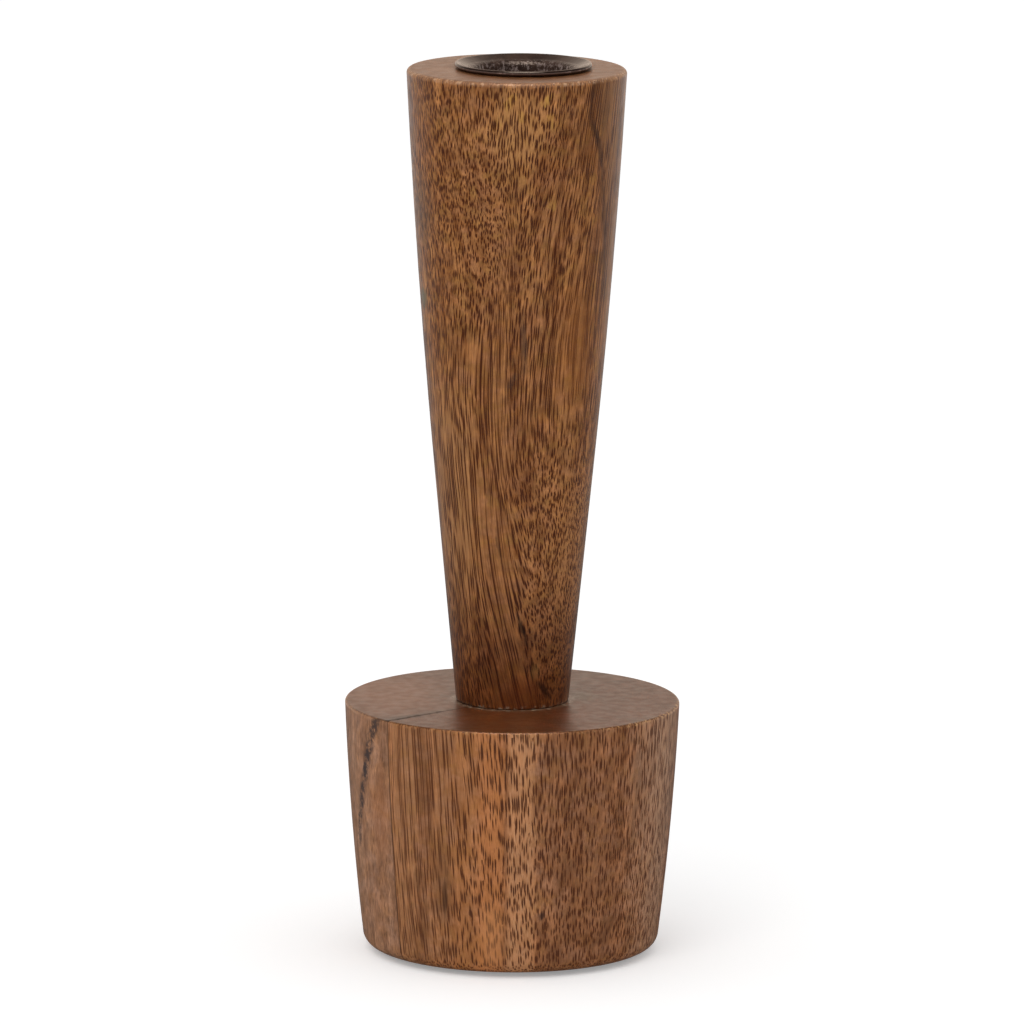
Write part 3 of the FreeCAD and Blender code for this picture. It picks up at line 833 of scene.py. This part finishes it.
# %% Left block
LEFT_SEED = 17.7
LEFT_SIDE_PATH = ((0, 0), (58, 5))
LEFT_DEPTH = ((0, 0), (58, -4))
LEFT_BAND_MM = (6, 1.8, 140)
material, tree, shader = new_material("lacquered mango wood, left block")
place, fibres = fibre_space(
    tree, LEFT_SEED, LEFT_SIDE_PATH, LEFT_DEPTH, LEFT_DEPTH, split_mm=(90, 99), wander_mm=2.0,
)
side = add(tree, "ShaderNodeSeparateXYZ", {"Vector": place})
ring_turn = math.radians(70)
colour = ground_colour(
    tree, place, fibres, LEFT_SEED, ring_turn,
    light="#ac7d5c", dark="#94684a", patches=("#a7744b", "#b2866b"), glow=0.12,
)
upright = add(tree, "ShaderNodeMapping", {
    "Vector": fibres, "Rotation": (0, 0, ring_turn), "Scale": per(LEFT_BAND_MM),
}).outputs["Vector"]
upright = add(tree, "ShaderNodeTexNoise", {
    "Vector": upright, "Scale": 1, "Detail": 4, "Roughness": 0.6,
}).outputs["Fac"]
upright = add(tree, "ShaderNodeMapRange", {
    "Value": upright, "From Min": 0.42, "From Max": 0.66,
}).outputs["Result"]
colour = tint(tree, colour, upright, "#74492d", 0.5)
cloudy = add(tree, "ShaderNodeVectorMath", {
    0: fibres, 1: (1, 1, 0.45),
}, operation="MULTIPLY").outputs[0]
cloudy = add(tree, "ShaderNodeTexNoise", {
    "Vector": cloudy, "Scale": 0.55, "Detail": 3, "Roughness": 0.6,
}).outputs["Fac"]
cloudy = add(tree, "ShaderNodeMapRange", {
    "Value": cloudy, "From Min": 0.3, "From Max": 0.7, "To Min": 0.76, "To Max": 1.24,
}).outputs["Result"]
colour = add(tree, "ShaderNodeVectorMath", {0: colour, "Scale": cloudy}, operation="SCALE").outputs[0]
coarse = tubes(tree, fibres, LEFT_SEED, ring_turn, pitch_mm=0.6, radius_mm=0.11, sparse=0.25)[0]
colour = tint(tree, colour, coarse, "#5a3820", 0.6)
print("left block is cloudy on a scale of 2 mm")

# %% [markdown]
# The spalting is a thin dark sheet in the left block. The side of the base cuts it along a leaning
# line. A noise breaks the line into blots, and it ends some way above the foot.

# %% Spalting
SPALT_START = Vector((-30, -22, BASE_TOP_MM))
SPALT_SIDE = Vector((-0.20, 0.904, 0.377))
LEFT_STAINS = (
    ("warm patch under the spalting", (-29, -20, 36), (4, 9, 15), 0.3, "#a8683a", 0),
)
torn = ragged(tree, place, reach_mm=1.5, seed=8.1, stretch=2.0)
off_spalt = add(tree, "ShaderNodeVectorMath", {
    0: torn, 1: SPALT_START,
}, operation="SUBTRACT").outputs[0]
off_spalt = add(tree, "ShaderNodeVectorMath", {
    0: off_spalt, 1: SPALT_SIDE,
}, operation="DOT_PRODUCT").outputs["Value"]
spalt = band(tree, off_spalt, low=-1.3, high=1.2, soft=0.6)
at_the_left = band(tree, side.outputs["X"], low=-60, high=-20.5, soft=1.5)
above_the_foot = band(tree, side.outputs["Z"], low=26, high=90, soft=2)
broken = add(tree, "ShaderNodeTexNoise", {
    "Vector": place, "Scale": 0.42, "Detail": 5, "Roughness": 0.8,
}).outputs["Fac"]
broken = add(tree, "ShaderNodeMapRange", {
    "Value": broken, "From Min": 0.41, "From Max": 0.52,
}).outputs["Result"]
for limit in (at_the_left, above_the_foot, broken):
    spalt = add(tree, "ShaderNodeMath", {0: spalt, 1: limit}, operation="MULTIPLY").outputs[0]
colour = tint(tree, colour, spalt, "#26242a", 0.85)
colour = stains(tree, colour, torn, LEFT_STAINS)
colour, glue = base_top(tree, colour, place)
lacquer(tree, shader, colour, place, coarse, strength=0.15, dull=glue)
dress("base_left_half", material)

# %% [markdown]
# The right block's fibres run nearly along its side at the left, where the pores are long straight
# lines, and cross it at the right, where they are short dashes. Its zones of colour are upright
# bands, as the growth rings gave them. The grey band at its far right is partly a painted sheen of
# grazing light.

# %% Right block
RIGHT_SEED = 8.3
RIGHT_SIDE_PATH = ((0, 0), (58, -3.0))
RIGHT_DEPTH_WHERE_LINED = ((0, 0), (58, -1.2))
RIGHT_DEPTH_WHERE_DASHED = ((0, 0), (58, 2.6))
material, tree, shader = new_material("lacquered mango wood, right block")
place, fibres = fibre_space(
    tree, RIGHT_SEED, RIGHT_SIDE_PATH, RIGHT_DEPTH_WHERE_LINED, RIGHT_DEPTH_WHERE_DASHED,
    split_mm=(-23, 0), wander_mm=0.9,
)
side = add(tree, "ShaderNodeSeparateXYZ", {"Vector": place})
ring_turn = math.radians(45)
colour = ground_colour(
    tree, place, fibres, RIGHT_SEED, ring_turn,
    light="#b1754a", dark="#7a4a26", patches=("#956430", "#ab795a"),
)
print("the right block's layers are turned by", round(math.degrees(ring_turn)), "degrees")

# %% Zones of colour
ZONES = (
    ("lined zone", -27, -21.2, 0.6, 0.4, "#a8764c"),
    ("dark band", -21.0, -18.3, 0.5, 0.4, "#6a4428"),
    ("brown band", -18.2, -13.2, 0.8, 0.35, "#a26d3e"),
    ("golden zone", -12.8, -8.2, 1.2, 0.45, "#ae6e36"),
    ("orange zone", -7.8, -1.4, 1.4, 0.55, "#c67a3e"),
    ("its edge", -1.5, -1.0, 0.25, 0.4, "#6a3c20"),
    ("mottled zone", -0.8, 5.2, 0.7, 0.55, "#cc9060"),
    ("brown side", 7, 26, 3, 0.35, "#744a2e"),
    # The grey side is partly the wood's greyer tone, partly a painted sheen of grazing light.
    ("grey side", 29, 60, 4, 0.6, "#b59074"),
)
torn = ragged(tree, place, reach_mm=0.8, seed=2.2, stretch=8)
torn_side = add(tree, "ShaderNodeSeparateXYZ", {"Vector": torn})
in_front = add(tree, "ShaderNodeMapRange", {
    "Value": side.outputs["Y"], "From Min": -4, "From Max": -10,
}).outputs["Result"]
for label, low, high, soft, strength, shade in ZONES:
    amount = band(tree, torn_side.outputs["X"], low, high, soft)
    amount = add(tree, "ShaderNodeMath", {0: amount, 1: in_front}, operation="MULTIPLY").outputs[0]
    colour = tint(tree, colour, amount, shade, strength)
    print("zone:", label)

# %% [markdown]
# Four families of tubes lie in the right block: the coarse pores with their soaked wood, which are
# weaker where the fibres run along the side, long lines that show only there, slim pores everywhere,
# and pale dots in the mottled zone.

# %% Pores of the right block
RIGHT_PORE_BROWN = "#4e230a"
coarse, halo = tubes(tree, fibres, RIGHT_SEED, ring_turn, pitch_mm=0.50, radius_mm=0.155, sparse=0.55)
lines = tubes(tree, fibres, 71.9, ring_turn, pitch_mm=0.95, radius_mm=0.14, sparse=0.7)[0]
slim = tubes(tree, fibres, 29.4, ring_turn, pitch_mm=0.42, radius_mm=0.07, sparse=0.4)[0]
dots = tubes(tree, fibres, 51.2, ring_turn, pitch_mm=0.60, radius_mm=0.14, sparse=0.4)[0]
crossing = add(tree, "ShaderNodeMapRange", {
    "Value": side.outputs["X"], "From Min": -20, "From Max": -11, "To Min": 0.75, "To Max": 1,
}).outputs["Result"]
coarse = add(tree, "ShaderNodeMath", {0: coarse, 1: crossing}, operation="MULTIPLY").outputs[0]
halo = add(tree, "ShaderNodeMath", {0: halo, 1: crossing}, operation="MULTIPLY").outputs[0]
along = add(tree, "ShaderNodeMapRange", {
    "Value": side.outputs["X"], "From Min": -11, "From Max": -19,
}).outputs["Result"]
lines = add(tree, "ShaderNodeMath", {0: lines, 1: along}, operation="MULTIPLY").outputs[0]
dots = add(tree, "ShaderNodeMath", {
    0: dots, 1: band(tree, torn_side.outputs["X"], low=-0.8, high=6.0, soft=0.7),
}, operation="MULTIPLY").outputs[0]
colour = tint(tree, colour, halo, SOAKED_BROWN, 0.5)
colour = tint(tree, colour, dots, "#c2946c", 0.3)
colour = tint(tree, colour, slim, SLIM_BROWN, 0.45)
colour = tint(tree, colour, lines, RIGHT_PORE_BROWN, 0.8)
colour = tint(tree, colour, coarse, RIGHT_PORE_BROWN, 0.92)
print("right block has", len(tree.nodes), "nodes so far")

# %% Marks on the right block
RIGHT_STAINS = (
    ("knotty streak", (-14.8, -31, 18), (0.9, 4, 7), 0.7, "#3a2114", 0),
    ("its shadow", (-15.2, -31, 22), (3.0, 4, 12), 0.35, "#6a4426", 0),
    ("pale orange patch", (-4, -34, 10), (4.5, 6, 12), 0.3, "#c98a54", 0),
    ("fleck", (6.7, -33, 14.5), (1.2, 3, 1.6), 0.75, "#35201a", 0.3),
)
colour = stains(tree, colour, torn, RIGHT_STAINS)
colour, glue = base_top(tree, colour, place)
lacquer(tree, shader, colour, place, coarse, dull=glue)
dress("base_right_half", material)

# %% [markdown]
# ## The candle cup
# The cup is pressed from thin steel and dipped in dark bronze lacquer. The lacquer is glossy, and it
# has run and gathered in the throat, where its lumpy skin breaks up the light. Small pale specks
# painted into its colour there are painted glints. They are only on the inside of the wall, where the
# normal points at the axis or up.
# The rim is folded back under itself. A dark line between the two layers is a painted shade in the
# crease, and a paler line along the edge of the lower one is a painted highlight.

# %% Bronze lacquer
THROAT_RING_MM = 12.0
material, tree, shader = new_material("bronze-brown lacquer on pressed steel")
low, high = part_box("candle_cup")
CUP_RIM_MM = (high.x - low.x) / 2 * MM
CUP_TOP_MM = high.z * MM
cup_axis = (low + high) / 2 * MM
place = in_millimetres(tree, (cup_axis.x, cup_axis.y, 0))
skin = add(tree, "ShaderNodeTexNoise", {"Vector": place, "Scale": 0.35, "Detail": 3}).outputs["Fac"]
thin = add(tree, "ShaderNodeMapRange", {
    "Value": skin, "From Min": 0.4, "From Max": 0.65,
}).outputs["Result"]
colour = tint(tree, linear("#372822"), thin, "#47352d")
print("cup rim", round(CUP_RIM_MM * 2, 2), "mm across")

# %% Throat and rim
throat = near_ring(tree, place, THROAT_RING_MM, CUP_TOP_MM - 3.0, far_mm=2.2, close_mm=1.0)
inwards = add(tree, "ShaderNodeVectorMath", {
    0: place, 1: (-1, -1, 0), 2: (0, 0, THROAT_RING_MM),
}, operation="MULTIPLY_ADD").outputs[0]
normal = add(tree, "ShaderNodeTexCoord").outputs["Normal"]
inside = add(tree, "ShaderNodeVectorMath", {
    0: inwards, 1: normal,
}, operation="DOT_PRODUCT").outputs["Value"]
inside = add(tree, "ShaderNodeMapRange", {
    "Value": inside, "From Min": 0, "From Max": 3,
}).outputs["Result"]
throat = add(tree, "ShaderNodeMath", {0: throat, 1: inside}, operation="MULTIPLY").outputs[0]
# Painted glints: pale specks where the lumpy lacquer in the throat catches the light.
colour = specks(
    tree, colour, place, throat, seed=3.3, size_mm=0.9, shade="#b7a29a", everywhere=0, most=0.5,
)
# Painted shade: a dark line in the crease between the rim's two layers.
crease_shade = near_ring(tree, place, CUP_RIM_MM - 0.06, CUP_TOP_MM - 0.30, far_mm=0.2, close_mm=0.08)
colour = tint(tree, colour, crease_shade, "#120b08", 0.85)
# Painted highlight: a pale line along the rounded edge of the rim's lower layer.
lip_highlight = near_ring(tree, place, CUP_RIM_MM - 0.02, CUP_TOP_MM - 0.52, far_mm=0.2, close_mm=0.06)
colour = specks(
    tree, colour, place, lip_highlight, seed=7.7, size_mm=2.5, shade="#a48a80", everywhere=0.25, most=0.7,
)
tree.links.new(colour, shader.inputs["Base Color"])
print("throat specks lie near a ring of radius", THROAT_RING_MM, "mm")

# %% The lacquer's skin
LUMP_HEIGHT = 0.00034
runs = add(tree, "ShaderNodeTexNoise", {
    "Vector": place, "Scale": 1.3, "Detail": 3, "Roughness": 0.6,
}).outputs["Fac"]
smooth = add(tree, "ShaderNodeMath", {0: skin, 1: 0.25}, operation="MULTIPLY").outputs[0]
uneven = add(tree, "ShaderNodeMix", {0: throat, 2: smooth, 3: runs}).outputs[0]
bump = add(tree, "ShaderNodeBump", {"Strength": 1.0, "Distance": LUMP_HEIGHT, "Height": uneven})
tree.links.new(bump.outputs["Normal"], shader.inputs["Normal"])
shader.inputs["Roughness"].default_value = 0.16
shader.inputs["IOR"].default_value = 1.5
dress("candle_cup", material)

# %% [markdown]
# ## The screw and its washer
# They are zinc-plated steel. The plating is a bare metal with a fine cloudy grain, brighter where the
# driver and the washer have rubbed it, so the colour and the roughness follow one noise. A metal
# keeps the usual IOR.

# %% Zinc-plated steel
PIT_DEPTH = 0.00003
material, tree, shader = new_material("zinc-plated steel")
grain = add(tree, "ShaderNodeTexNoise", {
    "Vector": in_millimetres(tree), "Scale": 1.2, "Detail": 4, "Roughness": 0.65,
}).outputs["Fac"]
grain = add(tree, "ShaderNodeMapRange", {
    "Value": grain, "From Min": 0.35, "From Max": 0.65,
}).outputs["Result"]
colour = tint(tree, linear("#a9a69e"), grain, "#cbc8be")
tree.links.new(colour, shader.inputs["Base Color"])
rough = add(tree, "ShaderNodeMapRange", {
    "Value": grain, "To Min": 0.42, "To Max": 0.27,
}).outputs["Result"]
tree.links.new(rough, shader.inputs["Roughness"])
shader.inputs["Metallic"].default_value = 1
pits = add(tree, "ShaderNodeBump", {"Strength": 0.3, "Distance": PIT_DEPTH, "Height": grain})
tree.links.new(pits.outputs["Normal"], shader.inputs["Normal"])
for name in ("joining_screw", "screw_washer"):
    dress(name, material)

# %% [markdown]
# ## The felt pads
# Four pads of pressed wool felt keep the lacquer off the table. Felt is matted fibre, so it has no
# gloss. Its tufts are about half a millimetre wide, and the loose fibres on it catch a faint sheen at
# the edges.

# %% Pressed felt
TUFT_HEIGHT = 0.0002
material, tree, shader = new_material("pressed wool felt")
tufts = add(tree, "ShaderNodeTexNoise", {
    "Vector": in_millimetres(tree), "Scale": 2, "Detail": 5, "Roughness": 0.75,
}).outputs["Fac"]
tufts = add(tree, "ShaderNodeMapRange", {
    "Value": tufts, "From Min": 0.35, "From Max": 0.65,
}).outputs["Result"]
colour = tint(tree, linear("#4a423e"), tufts, "#756b64")
tree.links.new(colour, shader.inputs["Base Color"])
shader.inputs["Roughness"].default_value = 0.95
shader.inputs["Sheen Weight"].default_value = 0.3
matted = add(tree, "ShaderNodeBump", {"Strength": 0.8, "Distance": TUFT_HEIGHT, "Height": tufts})
tree.links.new(matted.outputs["Normal"], shader.inputs["Normal"])
for name in ("felt_pad_1", "felt_pad_2", "felt_pad_3", "felt_pad_4"):
    dress(name, material)

# %% [markdown]
# ## Finish

# %% Finish
print("every piece has its material")
